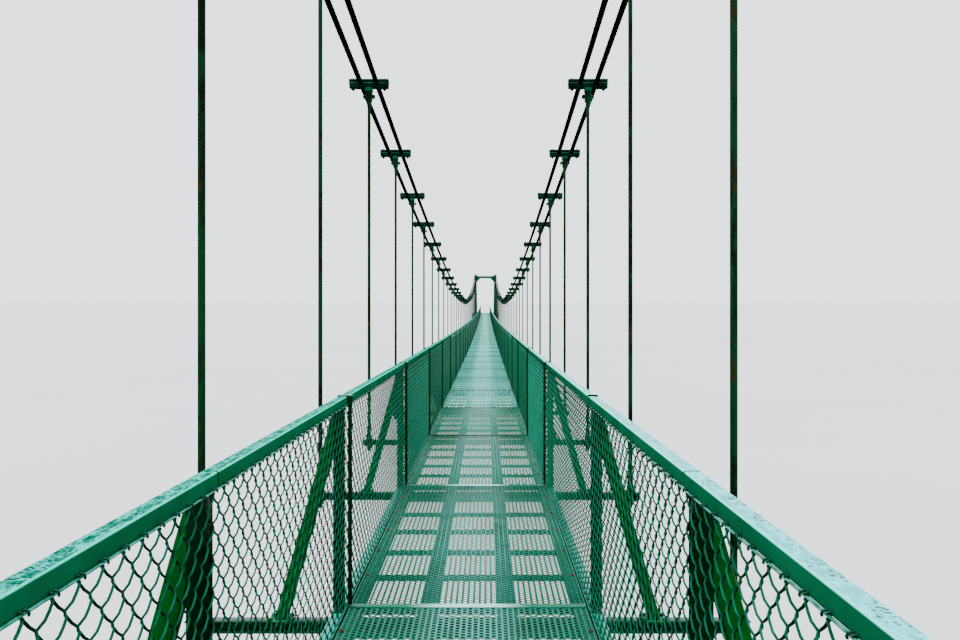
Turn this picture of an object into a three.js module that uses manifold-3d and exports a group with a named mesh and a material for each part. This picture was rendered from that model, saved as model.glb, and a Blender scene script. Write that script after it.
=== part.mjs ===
// Rope suspension footbridge, a 1:10 scale model of a whole bridge of 106 m span.
// Frame: X across the bridge, Y along it, Z up, origin on the ground at the middle.
// Sizes below are those of the real bridge in millimetres; MODEL_SCALE brings them to the model.

import * as THREE from 'three';
import { mergeVertices } from 'three/addons/utils/BufferGeometryUtils.js';
import Module from 'manifold-3d';

const wasm = await Module();
wasm.setup();

const MODEL_SCALE = 0.1;

// Gap that touching pieces keep, 0.3 mm on the model
const SEAT_GAP = 3;

// Depth by which parts of one piece run into each other where they are joined
const JOINT_OVERLAP = 5;

// Distance under which two corners, or a corner and a station, count as one place
const MERGE_TOLERANCE = 1e-3;
const SAME_PLACE = 1;

// Bays between the hanger stations
const FULL_BAY = 2750;
const SHORT_BAY = 1870;
const FULL_BAYS = 36;
const SHORT_BAYS_EACH_END = 2;
const SPAN = FULL_BAYS * FULL_BAY + 2 * SHORT_BAYS_EACH_END * SHORT_BAY;
const HALF_SPAN = SPAN / 2;

// Stretches of railing, netting and deck along the bridge, in bays from the near tower
const STRETCH_ENDS = [0, 10, 20, 30, 40];
const SPLICE_PAST_STATION = 110;

// Deck
const DECK_END_HEIGHT = 3000;
const DECK_SAG = 500;
const GRATING_HALF_WIDTH = 622;
const GRATING_DEPTH = 47;
const EDGE_INNER = 641;
const EDGE_OUTER = 693;
const EDGE_TOP = 6;
const EDGE_BOTTOM = -55;
const DECK_END_OVERRUN = 290;

// Floor beams that carry the deck and hang from the rods
const BEAM_HALF_LENGTH = 1460;
const BEAM_WIDTH = 60;
const BEAM_TOP = -50;
const BEAM_BOTTOM = -112;

// Railings
const RAIL_INNER = 630;
const RAIL_OUTER = 682;
const RAIL_TOP = 1105;
const RAIL_BOTTOM = 1067;
const POST_INNER = 641;
const POST_OUTER = 693;
const POST_WIDTH = 60;
const BRACE_WIDTH = 60;
const BRACE_TOP = 1056;
const BRACE_DEPTH = 225;
const BRACE_FOOT_INNER = 935;
const BRACE_FOOT_OUTER = 998;
const NETTING_INNER = 627;
const NETTING_OUTER = 637;
const NETTING_BOTTOM = -20;

// Main ropes, their clamps and the hanger rods
const ROPE_PLANE = 1380;
const ROPE_HALF_SPACING = 100;
const ROPE_RADIUS = 34;
const ROPE_SIDES = 8;
const ROPE_HEIGHT_AT_TOWER = 5510;
const ROPE_SAG = 3880;
const CLAMP_LENGTH = 500;
const CLAMP_WIDTH = 90;
const CLAMP_DEPTH = 110;
const HANGER_WIDTH = 40;

// Towers
const LEG_WIDTH = 300;
const SADDLE_RADIUS = 600;
const SADDLE_STEPS = 4;
const SADDLE_WIDTH = 400;
const SADDLE_BASE_DROP = 170;
const SADDLE_HALF_LENGTH = 170;
const CROSSBEAM_DEPTH = 320;
const CROSSBEAM_WIDTH = 200;
const CROSSBEAM_DROP = 360;
const KNEE_REACH = 520;

// Backstays and the blocks that hold them
const BACKSTAY_ANGLE = THREE.MathUtils.degToRad(35);
const ANCHOR_HEIGHT = 1300;
const ANCHOR_BLOCK_WIDTH = 1000;
const ANCHOR_BLOCK_LENGTH = 1950;
const ANCHOR_BLOCK_NOSE = 450;
const ANCHOR_FACE_RISE = 400;

// Abutments
const ABUTMENT_HALF_WIDTH = 1900;
const ABUTMENT_BACK = 2600;
const ABUTMENT_FRONT = 500;
const ABUTMENT_FOOT_FRONT = 800;
const APPROACH_EDGE = 300;
const SHELF_DROP = 123;
const SHELF_HEIGHT = DECK_END_HEIGHT - SHELF_DROP;
const SILL_HALF_LENGTH = 1000;
const SILL_FRONT = 60;
const SILL_TOP = DECK_END_HEIGHT + EDGE_BOTTOM - SEAT_GAP;

const paint = (color, roughness) =>
  new THREE.MeshStandardMaterial({ color, roughness, metalness: 0.1 });
const makeMaterial = {
  railPaint: () => paint(0x0f7a4a, 0.35),
  deckPaint: () => paint(0x2a9678, 0.4),
  nettingPaint: () => paint(0x147850, 0.4),
  towerPaint: () => paint(0x0b6a3e, 0.45),
  wireRope: () =>
    new THREE.MeshStandardMaterial({ color: 0x12301f, roughness: 0.55, metalness: 0.6 }),
  concrete: () =>
    new THREE.MeshStandardMaterial({ color: 0x8f9389, roughness: 0.9, metalness: 0 }),
};

// Stations of the towers (first and last), posts and hangers along Y
function stationPlaces() {
  const places = [-HALF_SPAN];
  const shortFrom = SHORT_BAYS_EACH_END;
  const shortTo = SHORT_BAYS_EACH_END + FULL_BAYS;
  for (let bay = 0; bay < FULL_BAYS + 2 * SHORT_BAYS_EACH_END; bay += 1) {
    const full = bay >= shortFrom && bay < shortTo;
    places.push(places[bay] + (full ? FULL_BAY : SHORT_BAY));
  }
  return places;
}

const stations = stationPlaces();
const lastStation = stations.length - 1;

// Height of the walking surface and of the rope's centre line
function sagShare(y) {
  return Math.max(0, 1 - (y / HALF_SPAN) ** 2);
}

function deckHeight(y) {
  return DECK_END_HEIGHT - DECK_SAG * sagShare(y);
}

function ropeHeight(y) {
  return DECK_END_HEIGHT + ROPE_HEIGHT_AT_TOWER - ROPE_SAG * sagShare(y);
}

// Solids

function toSolid(geometry) {
  const plain = geometry.clone();
  plain.deleteAttribute('normal');
  plain.deleteAttribute('uv');
  const merged = mergeVertices(plain, MERGE_TOLERANCE);
  return new wasm.Manifold(new wasm.Mesh({
    numProp: 3,
    vertProperties: new Float32Array(merged.attributes.position.array),
    triVerts: new Uint32Array(merged.index.array),
  }));
}

function toGeometry(solid) {
  const mesh = solid.getMesh();
  const geometry = new THREE.BufferGeometry();
  const positions = new THREE.BufferAttribute(new Float32Array(mesh.vertProperties), 3);
  geometry.setAttribute('position', positions);
  geometry.setIndex(new THREE.BufferAttribute(new Uint32Array(mesh.triVerts), 1));
  return geometry;
}

function joined(geometries) {
  const solids = geometries.map(toSolid);
  return toGeometry(solids.reduce((whole, solid) => whole.add(solid)));
}

// Box between two corners
function block(x0, x1, y0, y1, z0, z1) {
  const geometry = new THREE.BoxGeometry(x1 - x0, y1 - y0, z1 - z0);
  return geometry.translate((x0 + x1) / 2, (y0 + y1) / 2, (z0 + z1) / 2);
}

// Outline in the Y-Z plane, as [y, z] corners, made solid from x0 to x1
function sideOutline(corners, x0, x1) {
  const shape = new THREE.Shape(corners.map(([y, z]) => new THREE.Vector2(y, z)));
  const geometry = new THREE.ExtrudeGeometry(shape, {
    depth: x1 - x0,
    steps: 1,
    bevelEnabled: false,
  });
  const axes = new THREE.Matrix4().makeBasis(
    new THREE.Vector3(0, 1, 0),
    new THREE.Vector3(0, 0, 1),
    new THREE.Vector3(1, 0, 0),
  );
  return geometry.applyMatrix4(axes).translate(x0, 0, 0);
}

// Outline in the X-Z plane, as [x, z] corners, made solid from y0 to y1
function crossOutline(corners, y0, y1) {
  const shape = new THREE.Shape(corners.map(([x, z]) => new THREE.Vector2(x, z)));
  const geometry = new THREE.ExtrudeGeometry(shape, {
    depth: y1 - y0,
    steps: 1,
    bevelEnabled: false,
  });
  return geometry.rotateX(Math.PI / 2).translate(0, y1, 0);
}

// Strip that follows the deck from y0 to y1, between two heights above the walking surface
function deckStrip(y0, y1, x0, x1, bottom, top) {
  const inner = stations.filter((y) => y > y0 + SAME_PLACE && y < y1 - SAME_PLACE);
  const places = [y0, ...inner, y1];
  const lower = places.map((y) => [y, deckHeight(y) + bottom]);
  const upper = places.map((y) => [y, deckHeight(y) + top]).reverse();
  return sideOutline([...lower, ...upper], x0, x1);
}

// Polyline that an extruded section follows with one step from point to point
class PointPath extends THREE.Curve {
  constructor(points) {
    super();
    this.points = points;
  }

  getPoint(share, target = new THREE.Vector3()) {
    const place = share * (this.points.length - 1);
    const index = Math.min(Math.floor(place), this.points.length - 2);
    return target.lerpVectors(this.points[index], this.points[index + 1], place - index);
  }

  getPointAt(share, target) {
    return this.getPoint(share, target);
  }

  getTangentAt(share, target = new THREE.Vector3()) {
    const reach = 0.5 / (this.points.length - 1);
    const before = this.getPoint(Math.max(0, share - reach));
    const after = this.getPoint(Math.min(1, share + reach));
    return target.subVectors(after, before).normalize();
  }
}

// One wire rope through the given centre line points
function rope(points) {
  const section = new THREE.Shape();
  for (let side = 0; side < ROPE_SIDES; side += 1) {
    const turn = (2 * Math.PI * side) / ROPE_SIDES;
    const x = ROPE_RADIUS * Math.cos(turn);
    const y = ROPE_RADIUS * Math.sin(turn);
    if (side === 0) section.moveTo(x, y);
    else section.lineTo(x, y);
  }
  section.closePath();
  return new THREE.ExtrudeGeometry(section, {
    steps: points.length - 1,
    bevelEnabled: false,
    extrudePath: new PointPath(points),
  });
}

const model = new THREE.Group();
model.scale.setScalar(MODEL_SCALE);

function addPiece(name, geometry, material) {
  const mesh = new THREE.Mesh(geometry, material);
  mesh.name = name;
  model.add(mesh);
}

const ENDS = [
  { name: 'near', sign: -1 },
  { name: 'far', sign: 1 },
];
const SIDES = [
  { name: 'left', sign: -1 },
  { name: 'right', sign: 1 },
];

// Places a piece that is drawn for the far end and the right side at any end or side
function mirrored(geometry, sideSign, endSign) {
  geometry.scale(sideSign, endSign, 1);
  if (sideSign * endSign < 0) {
    const index = geometry.index;
    if (index) {
      for (let i = 0; i < index.count; i += 3) {
        const first = index.getX(i);
        index.setX(i, index.getX(i + 1));
        index.setX(i + 1, first);
      }
    } else {
      const position = geometry.attributes.position;
      for (let i = 0; i < position.count; i += 3) {
        for (const axis of ['X', 'Y', 'Z']) {
          const first = position[`get${axis}`](i);
          position[`set${axis}`](i, position[`get${axis}`](i + 1));
          position[`set${axis}`](i + 1, first);
        }
      }
    }
  }
  return geometry;
}

// Rope line over the saddle of the far tower, from the span side to the back
const spanSlope = Math.atan((2 * ROPE_SAG) / HALF_SPAN);
const saddleCentreHeight = DECK_END_HEIGHT + ROPE_HEIGHT_AT_TOWER - SADDLE_RADIUS;

function saddleArc(radius) {
  const points = [];
  for (let step = 0; step <= SADDLE_STEPS; step += 1) {
    const turn = -spanSlope + ((spanSlope + BACKSTAY_ANGLE) * step) / SADDLE_STEPS;
    points.push([
      HALF_SPAN + radius * Math.sin(turn),
      saddleCentreHeight + radius * Math.cos(turn),
    ]);
  }
  return points;
}

// Where the backstay meets the face of its anchor block
const backstayTop = saddleArc(SADDLE_RADIUS).at(-1);
const backstayRun = (backstayTop[1] - ANCHOR_HEIGHT) / Math.tan(BACKSTAY_ANGLE);
const anchorPlace = backstayTop[0] + backstayRun;
const ropeEnd = [
  anchorPlace - SEAT_GAP * Math.cos(BACKSTAY_ANGLE),
  ANCHOR_HEIGHT + SEAT_GAP * Math.sin(BACKSTAY_ANGLE),
];

function ropeLine() {
  const farEnd = [...saddleArc(SADDLE_RADIUS), ropeEnd];
  const nearEnd = farEnd.map(([y, z]) => [-y, z]).reverse();
  const middle = stations.slice(1, -1).map((y) => [y, ropeHeight(y)]);
  return [...nearEnd, ...middle, ...farEnd];
}

// Main ropes of one side with their clamps and hanger rods, tied into one net
function ropeNet(sideSign) {
  const plane = sideSign * ROPE_PLANE;
  const pieces = [-ROPE_HALF_SPACING, ROPE_HALF_SPACING].map((offset) =>
    rope(ropeLine().map(([y, z]) => new THREE.Vector3(plane + offset, y, z))));
  for (const y of stations.slice(1, -1)) {
    const z = ropeHeight(y);
    pieces.push(block(
      plane - CLAMP_LENGTH / 2, plane + CLAMP_LENGTH / 2,
      y - CLAMP_WIDTH / 2, y + CLAMP_WIDTH / 2,
      z - CLAMP_DEPTH / 2, z + CLAMP_DEPTH / 2,
    ));
    pieces.push(block(
      plane - HANGER_WIDTH / 2, plane + HANGER_WIDTH / 2,
      y - HANGER_WIDTH / 2, y + HANGER_WIDTH / 2,
      deckHeight(y) + BEAM_TOP + SEAT_GAP, z - CLAMP_DEPTH / 2 + JOINT_OVERLAP,
    ));
  }
  return joined(pieces);
}

// Top rail of one stretch with its posts and outrigger braces
function railing(sideSign, y0, y1, posts) {
  const pieces = [deckStrip(y0, y1, RAIL_INNER, RAIL_OUTER, RAIL_BOTTOM, RAIL_TOP)];
  for (const y of posts) {
    const deck = deckHeight(y);
    const onAbutment = Math.abs(y) > HALF_SPAN - SAME_PLACE;
    const foot = (onAbutment ? SHELF_HEIGHT : deck + BEAM_TOP) + SEAT_GAP;
    pieces.push(block(
      POST_INNER, POST_OUTER, y - POST_WIDTH / 2, y + POST_WIDTH / 2,
      deck + EDGE_TOP + SEAT_GAP, deck + RAIL_BOTTOM + JOINT_OVERLAP,
    ));
    pieces.push(crossOutline([
      [POST_OUTER - JOINT_OVERLAP, deck + BRACE_TOP],
      [POST_OUTER - JOINT_OVERLAP, deck + BRACE_TOP - BRACE_DEPTH],
      [BRACE_FOOT_INNER, foot],
      [BRACE_FOOT_OUTER, foot],
    ], y - BRACE_WIDTH / 2, y + BRACE_WIDTH / 2));
  }
  return mirrored(joined(pieces), sideSign, 1);
}

// Edge members of one stretch of deck on their floor beams
function deckFrame(y0, y1, beams) {
  const pieces = [
    deckStrip(y0, y1, EDGE_INNER, EDGE_OUTER, EDGE_BOTTOM, EDGE_TOP),
    deckStrip(y0, y1, -EDGE_OUTER, -EDGE_INNER, EDGE_BOTTOM, EDGE_TOP),
  ];
  for (const y of beams) {
    const deck = deckHeight(y);
    pieces.push(block(
      -BEAM_HALF_LENGTH, BEAM_HALF_LENGTH, y - BEAM_WIDTH / 2, y + BEAM_WIDTH / 2,
      deck + BEAM_BOTTOM, deck + BEAM_TOP,
    ));
  }
  return joined(pieces);
}

function stretchPlaces(stretch) {
  const first = STRETCH_ENDS[stretch];
  const last = STRETCH_ENDS[stretch + 1];
  const start = first === 0
    ? -HALF_SPAN - DECK_END_OVERRUN
    : stations[first] + SPLICE_PAST_STATION + SEAT_GAP / 2;
  const end = last === lastStation
    ? HALF_SPAN + DECK_END_OVERRUN
    : stations[last] + SPLICE_PAST_STATION - SEAT_GAP / 2;
  const posts = stations.filter((y) => y > start && y < end);
  return { start, end, posts };
}

function addWalkway() {
  for (let stretch = 0; stretch < STRETCH_ENDS.length - 1; stretch += 1) {
    const { start, end, posts } = stretchPlaces(stretch);
    const beams = posts.filter((y) => Math.abs(y) < HALF_SPAN - SAME_PLACE);
    const label = stretch + 1;
    addPiece(`deck_frame_${label}`, deckFrame(start, end, beams), makeMaterial.deckPaint());
    addPiece(
      `deck_grating_${label}`,
      deckStrip(start, end, -GRATING_HALF_WIDTH, GRATING_HALF_WIDTH, -GRATING_DEPTH, 0),
      makeMaterial.deckPaint(),
    );
    for (const side of SIDES) {
      addPiece(
        `${side.name}_railing_${label}`,
        railing(side.sign, start, end, posts),
        makeMaterial.railPaint(),
      );
      const netting = deckStrip(
        start, end, NETTING_INNER, NETTING_OUTER, NETTING_BOTTOM, RAIL_BOTTOM - SEAT_GAP,
      );
      addPiece(
        `${side.name}_netting_${label}`,
        mirrored(netting, side.sign, 1),
        makeMaterial.nettingPaint(),
      );
    }
  }
}

// Concrete block under one tower, with a shelf for the legs and a sill for the deck end
function abutment(endSign) {
  const outline = [
    [HALF_SPAN - ABUTMENT_FOOT_FRONT, 0],
    [HALF_SPAN + ABUTMENT_BACK, 0],
    [HALF_SPAN + ABUTMENT_BACK, DECK_END_HEIGHT],
    [HALF_SPAN + APPROACH_EDGE, DECK_END_HEIGHT],
    [HALF_SPAN + APPROACH_EDGE, SHELF_HEIGHT],
    [HALF_SPAN - ABUTMENT_FRONT, SHELF_HEIGHT],
  ];
  const mass = sideOutline(outline, -ABUTMENT_HALF_WIDTH, ABUTMENT_HALF_WIDTH);
  const sill = block(
    -SILL_HALF_LENGTH, SILL_HALF_LENGTH,
    HALF_SPAN + SILL_FRONT, HALF_SPAN + APPROACH_EDGE + JOINT_OVERLAP,
    SHELF_HEIGHT - JOINT_OVERLAP, SILL_TOP,
  );
  return mirrored(joined([mass, sill]), 1, endSign);
}

function anchorBlock(sideSign, endSign) {
  const faceSlope = Math.tan(Math.PI / 2 - BACKSTAY_ANGLE);
  const noseHeight = ANCHOR_HEIGHT - ANCHOR_BLOCK_NOSE * faceSlope;
  const topSetback = ANCHOR_FACE_RISE / faceSlope;
  const outline = [
    [anchorPlace - ANCHOR_BLOCK_NOSE, 0],
    [anchorPlace + ANCHOR_BLOCK_LENGTH - ANCHOR_BLOCK_NOSE, 0],
    [anchorPlace + ANCHOR_BLOCK_LENGTH - ANCHOR_BLOCK_NOSE, ANCHOR_HEIGHT + ANCHOR_FACE_RISE],
    [anchorPlace + topSetback, ANCHOR_HEIGHT + ANCHOR_FACE_RISE],
    [anchorPlace - ANCHOR_BLOCK_NOSE, noseHeight],
  ];
  const x0 = ROPE_PLANE - ANCHOR_BLOCK_WIDTH / 2;
  return mirrored(sideOutline(outline, x0, x0 + ANCHOR_BLOCK_WIDTH), sideSign, endSign);
}

const legTop = DECK_END_HEIGHT + ROPE_HEIGHT_AT_TOWER - SADDLE_BASE_DROP;

function towerLeg(sideSign, endSign) {
  const leg = block(
    ROPE_PLANE - LEG_WIDTH / 2, ROPE_PLANE + LEG_WIDTH / 2,
    HALF_SPAN - LEG_WIDTH / 2, HALF_SPAN + LEG_WIDTH / 2,
    SHELF_HEIGHT + SEAT_GAP, legTop - SEAT_GAP,
  );
  return mirrored(leg, sideSign, endSign);
}

// Curved seat on a leg that the two ropes bend over
function saddle(sideSign, endSign) {
  const seat = saddleArc(SADDLE_RADIUS - ROPE_RADIUS - SEAT_GAP);
  const outline = [
    [HALF_SPAN - SADDLE_HALF_LENGTH, legTop],
    [HALF_SPAN + SADDLE_HALF_LENGTH, legTop],
    ...seat.reverse(),
  ];
  const x0 = ROPE_PLANE - SADDLE_WIDTH / 2;
  return mirrored(sideOutline(outline, x0, x0 + SADDLE_WIDTH), sideSign, endSign);
}

// Beam that joins the two legs at the top, with a knee plate in each corner
function crossbeam(endSign) {
  const reach = ROPE_PLANE - LEG_WIDTH / 2 - SEAT_GAP;
  const top = legTop - CROSSBEAM_DROP + CROSSBEAM_DEPTH;
  const bottom = legTop - CROSSBEAM_DROP;
  const outline = [
    [-reach, bottom - KNEE_REACH],
    [-reach + KNEE_REACH, bottom],
    [reach - KNEE_REACH, bottom],
    [reach, bottom - KNEE_REACH],
    [reach, top],
    [-reach, top],
  ];
  const y = endSign * HALF_SPAN;
  return crossOutline(outline, y - CROSSBEAM_WIDTH / 2, y + CROSSBEAM_WIDTH / 2);
}

function addEnds() {
  for (const end of ENDS) {
    addPiece(`${end.name}_abutment`, abutment(end.sign), makeMaterial.concrete());
    addPiece(`${end.name}_tower_crossbeam`, crossbeam(end.sign), makeMaterial.towerPaint());
    for (const side of SIDES) {
      const corner = `${end.name}_${side.name}`;
      addPiece(`${corner}_anchor_block`, anchorBlock(side.sign, end.sign),
        makeMaterial.concrete());
      addPiece(`${corner}_tower_leg`, towerLeg(side.sign, end.sign), makeMaterial.towerPaint());
      addPiece(`${corner}_rope_saddle`, saddle(side.sign, end.sign), makeMaterial.towerPaint());
    }
  }
}

addEnds();
addWalkway();
for (const side of SIDES) {
  addPiece(`${side.name}_main_ropes_and_hangers`, ropeNet(side.sign), makeMaterial.wireRope());
}

export default model;
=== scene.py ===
# Rope suspension footbridge, a 1:10 model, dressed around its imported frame.
# Lengths are millimetres of the real bridge, unless a comment says otherwise.

import math

import bmesh
import bpy
import numpy as np
from mathutils import Matrix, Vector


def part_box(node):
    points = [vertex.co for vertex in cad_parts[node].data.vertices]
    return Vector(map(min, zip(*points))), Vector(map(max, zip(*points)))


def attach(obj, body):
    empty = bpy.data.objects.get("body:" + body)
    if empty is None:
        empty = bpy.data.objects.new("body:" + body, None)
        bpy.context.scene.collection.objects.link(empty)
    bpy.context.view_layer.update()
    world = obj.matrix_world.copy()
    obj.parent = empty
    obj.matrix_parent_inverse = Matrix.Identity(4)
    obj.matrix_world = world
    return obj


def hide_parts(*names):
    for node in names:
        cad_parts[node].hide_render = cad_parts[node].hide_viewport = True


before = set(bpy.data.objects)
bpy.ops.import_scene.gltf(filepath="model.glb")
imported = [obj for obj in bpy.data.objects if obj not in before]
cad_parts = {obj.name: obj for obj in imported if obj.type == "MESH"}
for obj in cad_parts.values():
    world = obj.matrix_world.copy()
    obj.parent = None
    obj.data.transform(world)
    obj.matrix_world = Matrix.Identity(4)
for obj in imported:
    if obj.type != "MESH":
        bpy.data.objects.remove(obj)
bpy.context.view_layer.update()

# A real millimetre on the model, in metres
MM = 0.0001

SIDES = (("left", -1), ("right", 1))
ENDS = (("near", -1), ("far", 1))


# Places, worked out from the frame

def real_box(node):
    """Lowest and highest corner of a node."""
    return [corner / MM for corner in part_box(node)]


leg_low, leg_high = real_box("far_right_tower_leg")
HALF_SPAN = (leg_low.y + leg_high.y) / 2
ROPE_PLANE = (leg_low.x + leg_high.x) / 2
DECK_END_HEIGHT = real_box("far_abutment")[1].z

FULL_BAY = 2750
SHORT_BAY = 1870
FULL_BAYS = round((2 * HALF_SPAN - 4 * SHORT_BAY) / FULL_BAY)
BAYS = np.array([SHORT_BAY, SHORT_BAY, *[FULL_BAY] * FULL_BAYS, SHORT_BAY, SHORT_BAY])
STATIONS = [-HALF_SPAN, *(BAYS.cumsum() - HALF_SPAN).tolist()]
HANGER_STATIONS = STATIONS[1:-1]
DECK_SAG = 500
ROPE_HEIGHT_AT_TOWER = 5510
ROPE_SAG = 3880
DECK_END = HALF_SPAN + 290

# Number, start and end along Y of the four stretches of deck and railing
SPLICE_OFFSET = 110
SPLICES = [STATIONS[index] + SPLICE_OFFSET for index in (10, 20, 30)]
STRETCHES = list(zip((1, 2, 3, 4), [-DECK_END, *SPLICES], [*SPLICES, DECK_END]))


def sag_share(y):
    return max(0.0, 1 - (y / HALF_SPAN) ** 2)


def deck_height(y):
    """Height of the walking surface, straight from station to station."""
    heights = [DECK_END_HEIGHT - DECK_SAG * sag_share(place) for place in STATIONS]
    return float(np.interp(y, STATIONS, heights))


def rope_height(y):
    return DECK_END_HEIGHT + ROPE_HEIGHT_AT_TOWER - ROPE_SAG * sag_share(y)


def stretch_index(y):
    return [number - 1 for number, start, end in STRETCHES if start <= y <= end][0]


# Camera at the photograph's viewing angle, standing in the near portal

IMAGE_WIDTH, IMAGE_HEIGHT = 960, 640
FOCAL_PIXELS = 740.0
VANISHING_X = 486.0
HORIZON_Y = 302.3
EYE_HEIGHT = 1527
EYE_RIGHT = 95
EYE_BEHIND_TOWER = 98


def placed(name, data):
    """Object that shows some data in the scene."""
    made = bpy.data.objects.new(name, data)
    bpy.context.scene.collection.objects.link(made)
    return made


def make_camera():
    data = bpy.data.cameras.new("camera")
    data.lens = FOCAL_PIXELS / IMAGE_WIDTH * data.sensor_width
    data.shift_x = (IMAGE_WIDTH / 2 - VANISHING_X) / IMAGE_WIDTH
    data.shift_y = (HORIZON_Y - IMAGE_HEIGHT / 2) / IMAGE_WIDTH
    data.clip_start = 40 * MM
    data.clip_end = 5000000 * MM
    camera = placed("camera", data)
    eye = (EYE_RIGHT, -HALF_SPAN - EYE_BEHIND_TOWER, DECK_END_HEIGHT + EYE_HEIGHT)
    camera.location = [place * MM for place in eye]
    camera.rotation_euler = (math.pi / 2, 0.0, 0.0)
    bpy.context.scene.camera = camera


make_camera()


# Mesh building

class Solid:
    """Points, quads and triangles of one mesh."""

    def __init__(self):
        self.points, self.faces, self.count = [], {4: [], 3: []}, 0
        self.add(())

    def add(self, points, quads=(), triangles=()):
        points = np.asarray(points, float).reshape(-1, 3)
        for size, faces in ((4, quads), (3, triangles)):
            self.faces[size].append(np.asarray(faces, np.int64).reshape(-1, size) + self.count)
        self.points.append(points)
        self.count += len(points)
        return self

    def arrays(self):
        faces = {size: np.concatenate(parts) for size, parts in self.faces.items()}
        return np.concatenate(self.points), faces

    def join(self, *others):
        for other in others:
            self.copies(other, (0, 0, 0))
        return self

    def copies(self, other, offsets):
        """Adds one copy of another solid at each offset."""
        points, faces = other.arrays()
        offsets = np.asarray(offsets, float).reshape(-1, 3)
        steps = np.arange(len(offsets)) * len(points)
        quads, triangles = (faces[size][None] + steps[:, None, None] for size in (4, 3))
        return self.add(points[None] + offsets[:, None], quads, triangles)

    def turned(self, matrix):
        points, faces = self.arrays()
        turned = points @ np.array(matrix.to_3x3()).T + np.array(matrix.translation)
        if matrix.determinant() < 0:
            faces = {size: part[:, ::-1] for size, part in faces.items()}
        return Solid().add(turned, faces[4], faces[3])

    def on_side(self, side):
        """The solid drawn for the right side, mirrored where the side is the left one."""
        return self if side > 0 else self.turned(Matrix.Diagonal((-1, 1, 1, 1)))

    def to_object(self, name, smooth_angle=None):
        """Blender object with its points in metres on the model."""
        points, faces = self.arrays()
        mesh = bpy.data.meshes.new(name)
        loops = np.concatenate([faces[4].ravel(), faces[3].ravel()])
        totals = np.repeat([4, 3], [len(faces[4]), len(faces[3])])
        mesh.vertices.add(len(points))
        mesh.vertices.foreach_set("co", (points * MM).astype(np.float32).ravel())
        mesh.loops.add(len(loops))
        mesh.loops.foreach_set("vertex_index", loops.astype(np.int32))
        mesh.polygons.add(len(totals))
        starts = np.cumsum(totals) - totals
        mesh.polygons.foreach_set("loop_start", starts.astype(np.int32))
        mesh.polygons.foreach_set("loop_total", totals.astype(np.int32))
        mesh.update(calc_edges=True)
        if smooth_angle is not None:
            mesh.polygons.foreach_set("use_smooth", np.ones(len(totals), bool))
            mesh.set_sharp_from_angle(angle=math.radians(smooth_angle))
        return placed(name, mesh)


def sweep(points, section, side=(1, 0, 0), sizes=1.0, turns=0.0):
    """Closed tube of a convex section along points. sizes scale and turns twist each ring."""
    points, side = np.asarray(points, float), np.asarray(side, float)
    count, ring = len(points), len(section)
    tangents = np.gradient(points, axis=0)
    tangents /= np.linalg.norm(tangents, axis=1)[:, None]
    across = side - (tangents @ side)[:, None] * tangents
    across /= np.linalg.norm(across, axis=1)[:, None]
    upward = np.cross(across, tangents)
    change = np.ones(count) * sizes * np.exp(1j * np.asarray(turns))
    flat = change[:, None, None] * (np.asarray(section, float) @ (1, 1j))[:, None]
    rings = points[:, None] + across[:, None] * flat.real + upward[:, None] * flat.imag
    first = np.arange(count - 1)[:, None] * ring
    here = np.arange(ring)[None]
    after = (here + 1) % ring
    quads = np.stack([first + here, first + ring + here, first + ring + after, first + after], -1)
    last = (count - 1) * ring
    triangles = [face for k in range(1, ring - 1)
                 for face in ((0, k, k + 1), (last, last + k + 1, last + k))]
    return Solid().add(rings, quads, triangles)


def round_section(radius, sides, start=0.0):
    turns = start + 2 * np.pi * np.arange(sides) / sides
    return np.stack([radius * np.cos(turns), radius * np.sin(turns)], -1)


def rounded_rectangle(width, height, corner=0, steps=0):
    """Rectangle around the origin, with round corners where they have steps."""
    return [(x * (width / 2 - corner) + corner * math.cos(turn),
             y * (height / 2 - corner) + corner * math.sin(turn))
            for x, y, start in ((1, 1, 0), (-1, 1, 90), (-1, -1, 180), (1, -1, 270))
            for turn in np.radians(np.linspace(start, start + 90, steps + 1))]


def rod(start, end, radius, sides=8, end_radius=None, side=(1, 0, 0)):
    sizes = 1.0 if end_radius is None else (1.0, end_radius / radius)
    return sweep([start, end], round_section(radius, sides), side, sizes)


def spindle(start, direction, profile, sides):
    """Round solid along a direction, given as pairs of a place and a radius."""
    places, radii = zip(*profile)
    points = [np.asarray(start) + np.asarray(direction) * place for place in places]
    return sweep(points, round_section(1, sides), sizes=radii)


def taken(bm, edge):
    """The faces of a bmesh as a Solid, bevelled, with larger faces cut into triangles."""
    if edge:
        bmesh.ops.bevel(bm, geom=bm.edges[:], offset=edge, segments=1, affect="EDGES")
    bmesh.ops.triangulate(bm, faces=[f for f in bm.faces if len(f.verts) > 4])
    bmesh.ops.recalc_face_normals(bm, faces=bm.faces[:])
    # An order of points and faces that is the same in each run. Quads keep their diagonal.
    verts = sorted(bm.verts, key=lambda vert: vert.co[:])
    for index, vert in enumerate(verts):
        vert.index = index
    rings = [[vert.index for vert in face.verts] for face in bm.faces]
    rings = sorted(min(ring[k:] + ring[:k] for k in range(0, len(ring), len(ring) - 2))
                   for ring in rings)
    quads, triangles = ([ring for ring in rings if len(ring) == size] for size in (4, 3))
    solid = Solid().add([vert.co[:] for vert in verts], quads, triangles)
    bm.free()
    return solid


def block(x0, x1, y0, y1, z0, z1, edge=0.0):
    """Box between two corners with bevelled edges."""
    bm = bmesh.new()
    bmesh.ops.create_cube(bm, size=1.0)
    for vert in bm.verts:
        vert.co.x = min(x0, x1) if vert.co.x < 0 else max(x0, x1)
        vert.co.y = y0 if vert.co.y < 0 else y1
        vert.co.z = z0 if vert.co.z < 0 else z1
    return taken(bm, edge)


def pad(half_x, half_y, z0, z1, edge=0.0):
    """Block around the vertical axis."""
    return block(-half_x, half_x, -half_y, half_y, z0, z1, edge)


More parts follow.
